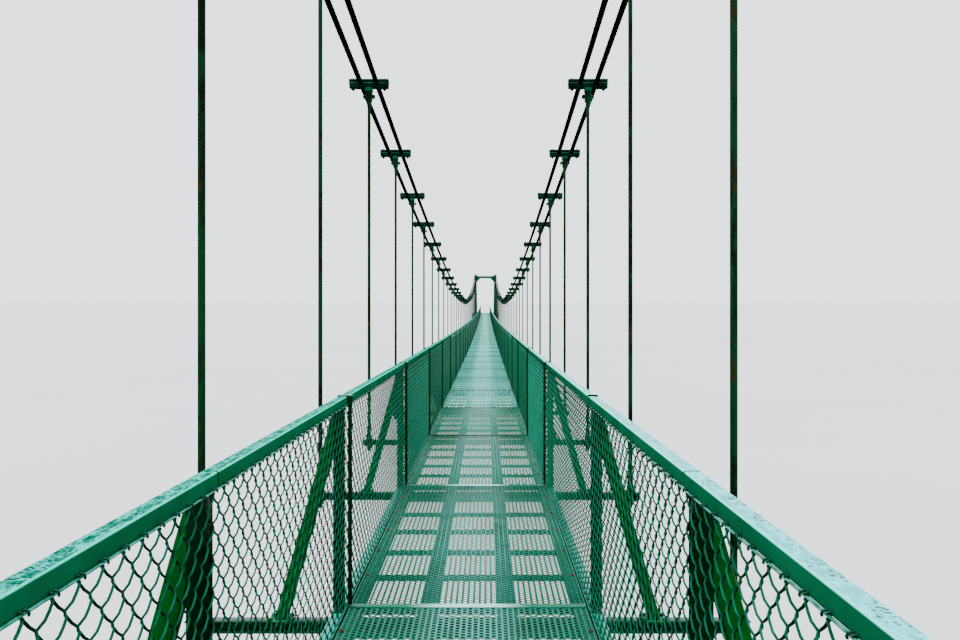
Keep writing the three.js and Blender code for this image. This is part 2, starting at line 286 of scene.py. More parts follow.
def extruded(outline, axis, low, high, edge=0.0):
    """Outline made solid between two places on axis 0 or 1, the x or the y axis."""
    bm = bmesh.new()
    corners = np.insert(np.array(outline, float), axis, low, axis=1)
    face = bm.faces.new([bm.verts.new(corner) for corner in corners])
    grown = bmesh.ops.extrude_face_region(bm, geom=[face])["geom"]
    moved = [item for item in grown if isinstance(item, bmesh.types.BMVert)]
    bmesh.ops.translate(bm, verts=moved, vec=np.eye(3)[axis] * (high - low))
    return taken(bm, edge)


def nut(centre, across_flats, height, upright=True):
    """Hexagonal nut with its axis along z where it is upright, and along x where it isn't."""
    reach = np.array((0, 0, height / 2) if upright else (height / 2, 0, 0))
    side = (1, 0, 0) if upright else (0, 1, 0)
    return rod(centre - reach, centre + reach, across_flats / math.sqrt(3), 6, side=side)


# Materials

class Look:
    """Small helper that grows one procedural material. Its scales are per real metre."""

    def __init__(self, name):
        self.material = bpy.data.materials.new(name)
        self.material.use_nodes = True
        self.tree = self.material.node_tree
        self.shader = self.tree.nodes["Principled BSDF"]
        self.place = self.tree.nodes.new("ShaderNodeTexCoord").outputs["Object"]
        self.normal = self.tree.nodes.new("ShaderNodeNewGeometry").outputs["Normal"]

    def node(self, kind, **inputs):
        made = self.tree.nodes.new(kind)
        for name, value in inputs.items():
            self.put(made.inputs[name.replace("_", " ")], value)
        return made

    def put(self, socket, value):
        if isinstance(value, bpy.types.NodeSocket):
            self.tree.links.new(value, socket)
        else:
            socket.default_value = value

    def axis(self, name, vector=None):
        """One axis of a vector, or of the place on the model."""
        return self.node("ShaderNodeSeparateXYZ", Vector=vector or self.place).outputs[name]

    def noise(self, scale, detail=3.0, roughness=0.55, stretch=(1, 1, 1)):
        mapping = self.node("ShaderNodeMapping", Vector=self.place, Scale=stretch)
        made = self.node("ShaderNodeTexNoise", Vector=mapping.outputs["Vector"],
                         Scale=scale / (1000 * MM), Detail=detail, Roughness=roughness)
        return made.outputs["Fac"]

    def cells(self, scale):
        made = self.node("ShaderNodeTexVoronoi", Vector=self.place, Scale=scale / (1000 * MM))
        return made.outputs["Distance"]

    def ramp(self, value, low, high):
        """0 below low, 1 above high, smooth between."""
        made = self.node("ShaderNodeMapRange", Value=value, From_Min=low, From_Max=high)
        made.interpolation_type = "SMOOTHSTEP"
        return made.outputs["Result"]

    def patches(self, scale, detail, low, high, roughness=0.55, stretch=(1, 1, 1)):
        return self.ramp(self.noise(scale, detail, roughness, stretch), low, high)

    def math(self, operation, first, second=0.0):
        made = self.tree.nodes.new("ShaderNodeMath")
        made.operation = operation
        self.put(made.inputs[0], first)
        self.put(made.inputs[1], second)
        return made.outputs[0]

    def times(self, first, *others):
        for other in others:
            first = self.math("MULTIPLY", first, other)
        return first

    def plus(self, first, second):
        return self.math("ADD", first, second)

    def minus(self, first, second):
        return self.math("SUBTRACT", first, second)

    def mix(self, share, first, second):
        made = self.tree.nodes.new("ShaderNodeMix")
        made.data_type = "RGBA"
        self.put(made.inputs["Factor"], share)
        colours = [socket for socket in made.inputs if socket.type == "RGBA"]
        for socket, value in zip(colours, (first, second)):
            self.put(socket, (*value, 1.0) if isinstance(value, tuple) else value)
        return [socket for socket in made.outputs if socket.type == "RGBA"][0]

    def facing_up(self, low, high):
        return self.ramp(self.axis("Z", self.normal), low, high)

    def outward(self, low, high):
        """0 nearer than low to the middle of the walkway, 1 further than high from it."""
        return self.ramp(self.math("ABSOLUTE", self.axis("X")), low * MM, high * MM)

    def finish(self, colour, roughness, shine, height=None, depth=1.0):
        self.put(self.shader.inputs["Base Color"], colour)
        self.put(self.shader.inputs["Roughness"], roughness)
        self.put(self.shader.inputs["Specular IOR Level"], shine)
        if height is not None:
            bump = self.node("ShaderNodeBump", Height=height, Distance=depth * MM)
            self.put(self.shader.inputs["Normal"], bump.outputs["Normal"])
        return self.material


RUST = (0.075, 0.022, 0.004)
GREEN_DIRT = (0.002, 0.01, 0.003)
UNDERSIDE_SHADE = (0.0004, 0.004, 0.002)
DOWNWARD_STREAKS = (1, 1, 0.15)


def painted(name, base, shade, wet_sheen, sheen_film, spots, rust, grime, gloss, middle=None, under=0.0):
    """Wet outdoor paint: calm dark sides, rain on top as a pale painted sky sheen, rust and dirt.
    """
    look = Look(name)
    up = look.facing_up(0.25, 0.75)
    colour = look.mix(look.patches(7, 3, 0.3, 0.7), shade, base)
    streaks = look.patches(14, 5, 0.55, 0.75, 0.7, DOWNWARD_STREAKS)
    colour = look.mix(look.times(streaks, grime), colour, GREEN_DIRT)
    # Painted shade: darker on the faces that point down.
    if under:
        below = look.minus(1.0, look.facing_up(-0.7, -0.1))
        colour = look.mix(look.times(below, under), colour, UNDERSIDE_SHADE)
    # Near the middle of the walkway the painted sheen takes the middle colour.
    if middle:
        wet_sheen = look.mix(look.outward(120, 340), middle, wet_sheen)
    # Painted sky sheen: pale patches of rain on the faces that point up, broken by drops.
    water_sheen = look.plus(look.times(look.patches(4, 2, 0.2, 0.5), 0.5), 0.5)
    beads = look.times(look.patches(150, 2, 0.52, 0.6, 0.5), look.patches(11, 2, 0.38, 0.6), spots)
    water_sheen = look.times(water_sheen, sheen_film, look.minus(1.0, beads), up)
    colour = look.mix(water_sheen, colour, wet_sheen)
    worn = look.times(look.patches(55, 3, 0.6, 0.68, 0.6), look.patches(3.5, 2, 0.5, 0.64), rust)
    colour = look.mix(worn, colour, RUST)
    rough = look.plus(look.times(look.noise(30), 0.16), 0.14)
    rough = look.plus(rough, look.times(worn, 0.5))
    height = look.plus(look.times(beads, up, 0.8), look.times(look.noise(90), 0.25))
    height = look.minus(height, worn)
    return look.finish(colour, rough, look.times(up, gloss) if gloss else 0.0, height, 1.2)


def rail_paint(name, sheen_film, far_sheen_film, far_places, crowding, gloss, edge):
    """Green rail with rain on top: two painted sky reflections, drops and a bright painted inner
    edge.
    """
    look = Look(name)
    up = look.facing_up(0.25, 0.7)
    side = look.mix(look.patches(5, 3, 0.3, 0.7), (0.0009, 0.066, 0.024), (0.0014, 0.094, 0.038))
    dirt = look.patches(13, 5, 0.58, 0.76, 0.7, DOWNWARD_STREAKS)
    side = look.mix(look.times(dirt, 0.25), side, (0.001, 0.02, 0.004))
    streak = look.patches(60, 4, 0.42, 0.6, 0.7, (1, 0.45, 1))
    # Painted sky reflection on top: one pair of colours at the near end, another further along.
    far = look.ramp(look.axis("Y"), far_places[0] * MM, far_places[1] * MM)
    water_sheen = look.mix(far, look.mix(streak, *sheen_film), look.mix(streak, *far_sheen_film))
    crowd = look.plus(look.noise(12), look.times(look.outward(RAIL_INNER, RAIL_OUTER), 0.14))
    crowd = look.ramp(crowd, 0.66 - crowding, 0.78 - crowding)
    drop = look.times(look.minus(1.0, look.ramp(look.cells(95), 0.26, 0.44)), crowd)
    water_sheen = look.mix(drop, water_sheen, (0.001, 0.07, 0.038))
    # Painted highlight: a bright line along the inner top edge.
    rim = look.minus(1.0, look.outward(RAIL_INNER + 3, RAIL_INNER + 6))
    water_sheen = look.mix(look.times(rim, 0.8), water_sheen, edge)
    height = look.times(look.plus(drop, look.times(streak, 0.4)), up)
    shine = look.times(up, gloss) if gloss else 0.0
    return look.finish(look.mix(up, side, water_sheen), 0.25, shine, height, 1.5)


def netting_wire(name, thin, thick):
    """Coated wire, painted bright on the walkway side and painted dark as shade on the outer side.
    """
    look = Look(name)
    outer = look.outward(NETTING_X - 3, NETTING_X + 2)
    bright = look.mix(look.patches(12, 4, 0.3, 0.7), thin, thick)
    # Painted light and shade: lighter on the upper side of each wire, darker beneath.
    lit = look.mix(look.facing_up(-0.5, 0.9), (0.0005, 0.045, 0.016), bright)
    # Painted shade: the outer side of the netting dark.
    colour = look.mix(outer, lit, (0.0003, 0.014, 0.004))
    speck = look.times(look.patches(30, 3, 0.64, 0.72, 0.6), 0.4)
    colour = look.mix(speck, colour, (0.04, 0.02, 0.005))
    shine = look.times(look.minus(1.0, outer), 0.02)
    rough = look.plus(look.times(look.noise(60), 0.25), 0.2)
    return look.finish(colour, rough, shine, look.noise(90), 1.0)


def lacing_wire():
    """Wet line wire below the rail, pale on top as a painted highlight, painted shade beneath."""
    look = Look("wet lacing wire")
    pale = look.mix(look.patches(26, 3, 0.35, 0.6), (0.002, 0.13, 0.085), (0.02, 0.3, 0.23))
    # Painted highlight on the upper side of the wire, painted shade beneath.
    colour = look.mix(look.facing_up(-0.5, 0.4), (0.001, 0.07, 0.035), pale)
    return look.finish(colour, 0.2, 0.05, look.noise(60), 0.8)


def rusty_clip():
    """Small fasteners with rust and dirt around them."""
    look = Look("rusty clip")
    tone = look.patches(70, 4, 0.4, 0.6, 0.7)
    colour = look.mix(tone, (0.01, 0.03, 0.012), (0.085, 0.05, 0.02))
    return look.finish(colour, 0.6, 0.1, tone, 1.0)


def wire_rope():
    """Dark greased rope with the fine twist of its wires across the strands."""
    look = Look("dark wire rope")
    angle = look.math("ARCTAN2", look.axis("X", look.normal), look.axis("Z", look.normal))
    along = look.times(look.axis("Y"), 2 * math.pi / (ROPE_LAY * MM))
    ridge = look.math("SINE", look.times(look.plus(look.times(angle, 4.0), along), 6.0))
    tone = look.patches(14, 4, 0.4, 0.7)
    colour = look.mix(tone, (0.0003, 0.001, 0.0006), (0.0006, 0.0036, 0.0018))
    # The grooves between the wires are drawn darker.
    colour = look.mix(look.ramp(ridge, -0.9, 0.2), (0.0001, 0.0003, 0.0002), colour)
    rough = look.plus(look.times(look.noise(60), 0.3), 0.4)
    return look.finish(colour, rough, 0.0, ridge, 1.5)


def hanger_rod():
    """Dark green rod, mottled with moss and lichen."""
    look = Look("mottled hanger rod")
    blotch = look.patches(5.5, 5, 0.44, 0.58, 0.7, (1, 1, 0.35))
    colour = look.mix(blotch, (0.001, 0.026, 0.008), (0.001, 0.005, 0.001))
    moss = look.patches(9, 5, 0.55, 0.66, 0.75, (1, 1, 0.5))
    colour = look.mix(moss, colour, (0.018, 0.012, 0.002))
    lichen = look.times(look.patches(22, 3, 0.6, 0.68, 0.6), 0.5)
    colour = look.mix(lichen, colour, (0.003, 0.04, 0.012))
    rough = look.plus(look.times(moss, 0.45), 0.3)
    return look.finish(colour, rough, 0.02, look.plus(look.noise(90, 4), moss), 1.0)


def damp_concrete():
    """Weathered concrete with casting joints, stains, pores and moss near the ground."""
    look = Look("damp concrete")
    colour = look.mix(look.patches(2.2, 5, 0.3, 0.7), (0.11, 0.107, 0.092), (0.19, 0.187, 0.17))
    stain = look.patches(4.5, 5, 0.5, 0.72, 0.7, DOWNWARD_STREAKS)
    colour = look.mix(look.times(stain, 0.6), colour, (0.045, 0.05, 0.032))
    low = look.ramp(look.axis("Z"), 750 * MM, 50 * MM)
    moss = look.times(low, look.patches(8, 5, 0.42, 0.6, 0.7))
    colour = look.mix(moss, colour, (0.022, 0.04, 0.01))
    wave = look.math("FRACT", look.times(look.axis("Z"), 1 / (600 * MM)))
    joint = look.math("GREATER_THAN", wave, 0.97)
    pores = look.ramp(look.cells(26), 0.2, 0.05)
    height = look.minus(look.noise(60, 5, 0.7), look.times(pores, 0.7))
    height = look.minus(height, look.times(joint, 1.5))
    colour = look.mix(look.times(joint, 0.5), colour, (0.04, 0.04, 0.035))
    return look.finish(colour, 0.82, 0.3, height, 4)


ROPE_LAY = 420
NETTING_X = 632
RAIL_INNER = 630
RAIL_OUTER = 678

# Name of each paint, its base, shaded and rain sheen colours, and its sheen share, spots, rust,
# grime and gloss, then the sheen colour in the middle of the walkway and the painted shade beneath
PAINTS = {
    "post": ("dark post paint", (0.0004, 0.015, 0.003), (0.0003, 0.008, 0.002),
        (0.01, 0.12, 0.07), 0.4, 0.3, 0.3, 0.5, 0.3),
    "clamping": ("clamping bar paint", (0.0004, 0.026, 0.009), (0.0003, 0.012, 0.004),
        (0.006, 0.1, 0.06), 0.5, 0.3, 0.3, 0.5, 0.1),
    "strap": ("dark rail joint", (0.0004, 0.01, 0.004), (0.0003, 0.006, 0.002),
        (0.001, 0.02, 0.01), 0.3, 0.0, 0.3, 0.5, 0.0),
    "brace": ("bright brace paint", (0.0006, 0.082, 0.009), (0.0006, 0.055, 0.007),
        (0.02, 0.26, 0.13), 0.3, 0.3, 0.3, 0.4, 0.3),
    "mesh": ("wet mesh paint", (0.002, 0.12, 0.062), (0.001, 0.075, 0.036),
        (0.012, 0.25, 0.155), 0.75, 0.0, 0.35, 0.2, 0.12, (0.12, 0.52, 0.42)),
    "far_mesh": ("wet far mesh paint", (0.01, 0.3, 0.2), (0.006, 0.22, 0.14),
        (0.03, 0.5, 0.38), 0.9, 0.0, 0.1, 0.1, 0.04, (0.18, 0.95, 0.8)),
    "bars": ("wet frame paint", (0.001, 0.066, 0.036), (0.0008, 0.044, 0.023),
        (0.003, 0.09, 0.055), 0.5, 0.2, 0.7, 0.5, 0.05),
    "seat": ("shaded seat paint", (0.0004, 0.01, 0.004), (0.0003, 0.006, 0.002),
        (0.001, 0.02, 0.01), 0.3, 0.0, 0.3, 0.5, 0.05),
    "rim": ("wet rim paint", (0.001, 0.09, 0.048), (0.001, 0.066, 0.034),
        (0.002, 0.13, 0.075), 0.6, 0.1, 0.9, 0.5, 0.04),
    "joint": ("wet joint paint", (0.004, 0.13, 0.075), (0.002, 0.09, 0.05),
        (0.004, 0.17, 0.095), 0.9, 0.3, 0.3, 0.3, 0.1, (0.5, 0.9, 0.82)),
    "edge": ("wet edge paint", (0.002, 0.09, 0.05), (0.001, 0.055, 0.03),
        (0.04, 0.46, 0.37), 0.85, 0.6, 0.3, 0.4, 0.15),
    "beam": ("shaded beam paint", (0.0006, 0.024, 0.009), (0.0004, 0.012, 0.004),
        (0.004, 0.05, 0.026), 0.5, 0.3, 1.0, 0.6, 0.1),
    "knot": ("dark wire knots", (0.0006, 0.045, 0.02), (0.0004, 0.024, 0.01),
        (0.004, 0.1, 0.06), 0.5, 0.0, 0.3, 0.3, 0.2),
    "tower": ("tower paint", (0.001, 0.06, 0.02), (0.001, 0.036, 0.011),
        (0.02, 0.22, 0.15), 0.5, 0.3, 0.8, 0.5, 0.4),
    # Clamp bodies near black as painted shade; their flanges and edge strip paler as painted
    # highlight, with some wear.
    "clamp": ("clamp paint", (0.0006, 0.017, 0.009), (0.0003, 0.005, 0.003),
        (0.01, 0.1, 0.06), 0.5, 0.2, 0.6, 0.5, 0.3, None, 0.9),
    "lit_lip": ("worn clamp edge", (0.006, 0.09, 0.058), (0.001, 0.034, 0.02),
        (0.06, 0.3, 0.22), 0.5, 0.2, 0.6, 0.3, 0.3, None, 0.9),
    "collar": ("clamp collar paint", (0.0008, 0.078, 0.032), (0.0006, 0.05, 0.018),
        (0.01, 0.15, 0.08), 0.5, 0.2, 0.4, 0.3, 0.3, None, 0.9),
}

LOOKS = {
    **{name: painted(*paint) for name, paint in PAINTS.items()},
    # The rails' tops carry painted sky reflection, the right one much paler, and a painted
    # highlight on the inner edge.
    "left_rail": rail_paint(
        "wet left rail paint", ((0.001, 0.16, 0.1), (0.04, 0.6, 0.5)),
        ((0.0, 0.2, 0.13), (0.0, 0.4, 0.29)), (-50500, -47500), 0.22, 0.0, (0.02, 0.88, 0.66)),
    "right_rail": rail_paint(
        "wet right rail paint", ((0.02, 0.54, 0.56), (0.08, 0.92, 0.98)),
        ((0.01, 0.34, 0.28), (0.02, 0.62, 0.54)), (-49000, -43000), 0.14, 0.08, (0.2, 1.0, 0.97)),
    "clip": rusty_clip(),
    "netting": netting_wire("coated netting wire", (0.001, 0.08, 0.036), (0.0015, 0.15, 0.082)),
    "far_netting": netting_wire(
        "coated far netting wire", (0.003, 0.17, 0.088), (0.004, 0.29, 0.175)),
    "lacing": lacing_wire(),
    "rope": wire_rope(),
    "hanger": hanger_rod(),
    "concrete": damp_concrete(),
}


def dress(solid, name, look, *nodes, smooth_angle=None):
    """Makes a piece of a solid, gives it its look and puts it in place of its nodes."""
    piece = solid.to_object(name, smooth_angle)
    piece.data.materials.append(LOOKS[look])
    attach(piece, "root")
    if nodes:
        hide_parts(*nodes)


def on_deck(places, x=0, height=0):
    """Points at a height above the walking surface."""
    return [(x, y, deck_height(y) + height) for y in places]


def along_deck(start, end, x, height, section):
    """Bar or wire that follows the deck, with a bend at each station on its way."""
    inner = [y for y in STATIONS if start < y < end]
    return sweep(on_deck((start, *inner, end), x, height), section)


# Main ropes

ROPE_RADIUS = 34
ROPE_HALF_SPACING = 100
STRANDS = 6
STRAND_GROOVE = 0.92
TWISTED_LENGTH = 2 * SHORT_BAY + 7 * FULL_BAY
STEPS_PER_LAY = 9
SADDLE_RADIUS = 600
SADDLE_STEPS = 4
BACKSTAY_ANGLE = math.radians(35)
ANCHOR_HEIGHT = 1300
SPAN_SLOPE = math.atan(2 * ROPE_SAG / HALF_SPAN)
SADDLE_Z = DECK_END_HEIGHT + ROPE_HEIGHT_AT_TOWER - SADDLE_RADIUS

# Rope line over the far saddle, as (y, z), from the span side to the back
SADDLE_ARC = [(HALF_SPAN + SADDLE_RADIUS * math.sin(turn),
               SADDLE_Z + SADDLE_RADIUS * math.cos(turn))
              for turn in np.linspace(-SPAN_SLOPE, BACKSTAY_ANGLE, SADDLE_STEPS + 1)]
BACKSTAY_RUN = (SADDLE_ARC[-1][1] - ANCHOR_HEIGHT) / math.tan(BACKSTAY_ANGLE)
ANCHOR_Y = SADDLE_ARC[-1][0] + BACKSTAY_RUN


def make_rope(x):
    """Rope from anchor block to anchor block, with its strands shown near the camera."""
    far = [*SADDLE_ARC, (ANCHOR_Y, ANCHOR_HEIGHT)]
    near = [(-y, z) for y, z in reversed(far)]
    line = np.array([*near, *[(y, rope_height(y)) for y in HANGER_STATIONS], *far])
    reach = np.concatenate([[0], np.cumsum(np.linalg.norm(np.diff(line, axis=0), axis=1))])
    tower = reach[line[:, 0] <= -HALF_SPAN][-1]
    twisted_end = tower + TWISTED_LENGTH
    strands = round_section(ROPE_RADIUS * np.tile((1, STRAND_GROOVE), STRANDS), 2 * STRANDS)
    plain = round_section(ROPE_RADIUS, 8)
    rope = Solid()
    for start, end, step, section, twist in (
            (0, tower, SHORT_BAY / 2, plain, 0),
            (tower, twisted_end, ROPE_LAY / STEPS_PER_LAY, strands, 2 * np.pi / ROPE_LAY),
            (twisted_end, reach[-1], SHORT_BAY / 2, plain, 0)):
        at = np.linspace(start, end, round((end - start) / step) + 1)
        points = [np.full(len(at), x), *[np.interp(at, reach, line[:, k]) for k in (0, 1)]]
        rope.join(sweep(np.stack(points, -1), section, turns=twist * at))
    return rope


def make_ropes():
    for name, side in SIDES:
        for place, offset in (("outer", ROPE_HALF_SPACING), ("inner", -ROPE_HALF_SPACING)):
            dress(make_rope(side * (ROPE_PLANE + offset)), f"{name}_{place}_main_rope", "rope",
                  f"{name}_main_ropes_and_hangers", smooth_angle=40)


make_ropes()


# Rope clamps, collars and hanger rods, at heights over the rope line

CLAMP_HALF = 250
CLAMP_HALF_WIDTH = 45
CLAMP_TOP = 56
CLAMP_BOTTOM = -56
FLANGE_LOW = 41
WEB_HALF_WIDTH = 26
LIP_TOP = 7
LIP_LOW = -2
LIP_HALF_WIDTH = 51
ROPE_SEAT_HALF = 42
CLAMP_BOLTS = (-200, 195)
COLLAR_BOTTOM = -102
FORK_BOTTOM = -225
PIN_HEIGHT = -160
PIN_HALF = 78
SOCKET_TOP = -110
SOCKET_BOTTOM = -315
SOCKET_PROFILE = ((SOCKET_TOP, 24), (-165, 36), (-215, 36), (-250, 29), (SOCKET_BOTTOM, 21))
ROD_RADIUS = 20

# Heights over the walking surface
BEAM_TOP = -50
BEAM_BOTTOM = -112


def clamp_template():
    """Channel on a solid lower half, bolted together over the two ropes."""
    wide, web = CLAMP_HALF_WIDTH, WEB_HALF_WIDTH
    clamp = pad(CLAMP_HALF, web, LIP_LOW, FLANGE_LOW + 3)
    clamp.join(pad(CLAMP_HALF - 4, wide, CLAMP_BOTTOM, LIP_LOW + 2, 6))
    for x in (-ROPE_HALF_SPACING, ROPE_HALF_SPACING):
        clamp.join(block(x - ROPE_SEAT_HALF, x + ROPE_SEAT_HALF, -wide - 3, wide + 3,
                         -36, FLANGE_LOW + 3, 4))
    for x in CLAMP_BOLTS:
        clamp.join(rod((x, 0, CLAMP_BOTTOM - 32), (x, 0, CLAMP_TOP + 18), 10),
                   nut((x, 0, CLAMP_TOP + 5), 34, 10),
                   nut((x, 0, CLAMP_BOTTOM - 10), 38, 20))
        for side in (-1, 1):
            clamp.join(rod((x, side * web, 24), (x, side * wide, 24), 9, 6))
    return clamp


def hanger_head_template():
    """Fork, cross pin with nuts, and the tapered socket of a rod."""
    head = Solid()
    for side in (-1, 1):
        head.join(block(side * 22, side * 40, -32, 32, FORK_BOTTOM, COLLAR_BOTTOM + 4, 4),
                  nut((side * 58, 0, PIN_HEIGHT), 52, 24, False))
    return head.join(
        pad(30, 28, SOCKET_TOP - 12, COLLAR_BOTTOM + 4, 4),
        rod((-PIN_HALF, 0, PIN_HEIGHT), (PIN_HALF, 0, PIN_HEIGHT), 13, 10, side=(0, 1, 0)),
        spindle((0, 0, 0), (0, 0, 1), SOCKET_PROFILE, 12))


def hanger_foot_template():
    """Washer plates and nuts where a rod passes through the end of a floor beam."""
    return Solid().join(
        pad(42, 42, BEAM_TOP, BEAM_TOP + 12, 2),
        nut((0, 0, BEAM_TOP + 28), 62, 32),
        nut((0, 0, BEAM_TOP + 54), 58, 18),
        pad(45, 42, BEAM_BOTTOM - 12, BEAM_BOTTOM, 2),
        nut((0, 0, BEAM_BOTTOM - 28), 58, 34),
        rod((0, 0, BEAM_BOTTOM - 75), (0, 0, BEAM_TOP + 150), 0.9 * ROD_RADIUS, 10),
        rod((0, 0, BEAM_TOP + 62), (0, 0, BEAM_TOP + 230), 27, 10, ROD_RADIUS))


def make_hangers():
    lit_lip = pad(CLAMP_HALF, LIP_HALF_WIDTH, LIP_LOW, LIP_TOP, 2)
    flanges = lit_lip.join(pad(CLAMP_HALF, CLAMP_HALF_WIDTH, FLANGE_LOW, CLAMP_TOP, 4))
    collar = pad(44, 47, COLLAR_BOTTOM, CLAMP_BOTTOM + 6, 5)
    head, foot = hanger_head_template(), hanger_foot_template()
    for name, side in SIDES:
        node = f"{name}_main_ropes_and_hangers"
        tops = [(side * ROPE_PLANE, y, rope_height(y)) for y in HANGER_STATIONS]
        feet = on_deck(HANGER_STATIONS, side * ROPE_PLANE)
        # The clamp bodies take the near-black clamp paint as painted shade, the flanges and edge
        # strip a paler paint as painted highlight.
        for piece, look, drawn in (("rope_clamps", "clamp", clamp_template()),
                                   ("clamp_flanges", "lit_lip", flanges),
                                   ("clamp_collars", "collar", collar)):
            dress(Solid().copies(drawn, tops), f"{name}_{piece}", look, node)
        rods = Solid().copies(head, tops).copies(foot, feet)
        for (x, y, top), (_, _, low) in zip(tops, feet):
            rods.join(rod((x, y, low + BEAM_TOP + 100), (x, y, top + SOCKET_BOTTOM + 20),
                          ROD_RADIUS, 12))
        dress(rods, f"{name}_hanger_rods", "hanger", node, smooth_angle=35)


make_hangers()


# Deck: floor beams, edge angles, panel frames and expanded metal

EDGE_ANGLE_INNER = 641
EDGE_ANGLE_OUTER = 693
EDGE_FLANGE_INNER = 600
BEAM_HALF_LENGTH = 1460
BEAM_HALF_WIDTH = 30
BEAM_RIBS = (-1430, -1330, -970, -667, -217, 217, 667, 970, 1330, 1430)
PANEL_HALF = 622
EDGE_BAND = 70
RIM_WIDTH = 42
RIM_LIP = 7
STRINGER_PLACE = 206
STRINGER_BAND = 98
STRINGER_GROOVE = 5
CROSSBAR_WIDTH = 50
CROSSBAR_DEPTH = 20
CROSSBARS = 5
CLIP_PLACE = 601
FRAME_TOP = -5.5
FRAME_BOTTOM = -43.5
JOINT_BAR_WIDTH = 46
JOINT_GAP = 14
SEAT_WIDTH = 130
WET_SHEEN_JOINTS = 4
JOINT_PAST_STATION = 50
PANEL_JOINTS = [y + JOINT_PAST_STATION for y in STATIONS]


def strip(start, end, x0, x1, bottom, top, edge=0, edge_steps=0):
    """Bar that follows the deck between two heights above the walking surface."""
    section = rounded_rectangle(abs(x1 - x0), top - bottom, edge, edge_steps)
    return along_deck(start, end, (x0 + x1) / 2, (bottom + top) / 2, section)


def floor_beam_template():
    """Channel beam across the deck with its open side along the bridge, and its ribs."""
    half, low, high = BEAM_HALF_LENGTH, BEAM_BOTTOM + 5, BEAM_TOP - 5
    return Solid().join(
        pad(half, BEAM_HALF_WIDTH, BEAM_TOP - 7, BEAM_TOP, 2),
        pad(half, BEAM_HALF_WIDTH, BEAM_BOTTOM, BEAM_BOTTOM + 7, 2),
        block(-half, half, -6, 2, low, high),
        *[block(x - 4, x + 4, -27, 27, low, high) for x in BEAM_RIBS])


def make_deck_steel():
    beam = floor_beam_template()
    for number, start, end in STRETCHES:
        steel, flanges = Solid(), Solid()
        for side in (-1, 1):
            inner, outer = side * EDGE_ANGLE_INNER, side * EDGE_ANGLE_OUTER
            steel.join(strip(start, end, inner, outer, -2, 6, 2, 2),
                       strip(start, end, inner, inner + side * 8, -47, 4))
            flanges.join(strip(start, end, side * EDGE_FLANGE_INNER, outer, -47, -42))
        node = f"deck_frame_{number}"
        dress(steel, f"deck_edge_angles_{number}", "edge", node)
        # The edge flanges take the near-black shaded seat paint: painted shade in the slit along
        # the deck edge.
        dress(flanges, f"deck_edge_flanges_{number}", "seat", node)
        beams = on_deck([y for y in HANGER_STATIONS if start < y < end])
        dress(Solid().copies(beam, beams), f"floor_beams_{number}", "beam", node)


make_deck_steel()


def panel_frame(start, end, crossings):
    """Stringers, edge bands and crossbars under the expanded metal, and their pale rims."""
    bars, rims = Solid(), Solid()
    for x in (-STRINGER_PLACE, STRINGER_PLACE):
        bars.join(strip(start, end, x - STRINGER_BAND / 2, x + STRINGER_BAND / 2,
                        FRAME_BOTTOM, FRAME_TOP - STRINGER_GROOVE))
        for side in (-1, 1):
            bars.join(strip(start, end, x + side * STRINGER_GROOVE / 2,
                            x + side * STRINGER_BAND / 2, FRAME_BOTTOM + 2, FRAME_TOP))
    for side in (-1, 1):
        outer = side * PANEL_HALF
        bars.join(strip(start, end, outer - side * EDGE_BAND, outer, FRAME_BOTTOM, FRAME_TOP))
        for width, top in ((RIM_WIDTH, FRAME_TOP + 1.5), (RIM_LIP, 1)):
            rims.join(strip(start, end, outer - side * width, outer, FRAME_TOP, top))
    crossbar = pad(PANEL_HALF - 4, CROSSBAR_WIDTH / 2, FRAME_TOP - CROSSBAR_DEPTH, FRAME_TOP - 0.4)
    return bars.copies(crossbar, on_deck(crossings)), rims


def make_panel_frames():
    clip = pad(13, 9, -6, 2, 1.5).join(nut((0, 0, 5), 13, 7))
    joint = pad(PANEL_HALF, JOINT_BAR_WIDTH / 2, -14, 4, 2)
    # Near-black seat plates by each panel joint: painted shade under the panel beside the joint.
    seat = block(-PANEL_HALF, PANEL_HALF, 0, SEAT_WIDTH, -47, -41, 1)
    for number, start, end in STRETCHES:
        node = f"deck_grating_{number}"
        crossings = [y for first, second in zip(PANEL_JOINTS, PANEL_JOINTS[1:])
                     for y in np.linspace(first, second, CROSSBARS + 2)[1:-1] if start < y < end]
        bars, rims = panel_frame(start, end, crossings)
        dress(bars, f"deck_panel_frames_{number}", "bars", node)
        dress(rims, f"deck_panel_rims_{number}", "rim", node)
        clips = [place for side in (-1, 1) for place in on_deck(crossings, side * CLIP_PLACE, 0.6)]
        dress(Solid().copies(clip, clips), f"deck_panel_clips_{number}", "clip", node)
        joints = on_deck([y for y in PANEL_JOINTS if start < y < end])
        # The nearest joint bars take the pale joint paint with its painted sky sheen, the others
        # the shaded beam paint.
        wet_sheen = WET_SHEEN_JOINTS if number == 1 else 0
        if wet_sheen:
            dress(Solid().copies(joint, joints[:wet_sheen]), "deck_joint_bars_near", "joint", node)
        dress(Solid().copies(joint, joints[wet_sheen:]), f"deck_joint_bars_{number}", "beam", node)
        dress(Solid().copies(seat, joints), f"deck_joint_seats_{number}", "seat", node)


make_panel_frames()

# Grades of expanded metal: column pitch, row pitch, strand width, bar width and height, and
# sideways swing of the strands, by the first bay that has the grade
GRATING_GRADES = {
    0: (96, 156, 14, 10, 5, 0.1),
    1: (29, 30, 9, 5, 4, 0.14),
    2: (31, 30, 11, 5, 4, 0.0),
    3: (31, 60, 11, 9, 6, 0.0),
    5: (62, 120, 18, 16, 8, 0.0),
    13: (93, 240, 26, 32, 10, 0.0),
}
NEAR_GRATING_BAYS = 5
FINE_GRATING_BAY = 1
FINE_GRATING_START = 650


def grade_of(grades, bay):
    return grades[max(first for first in grades if first <= bay)]


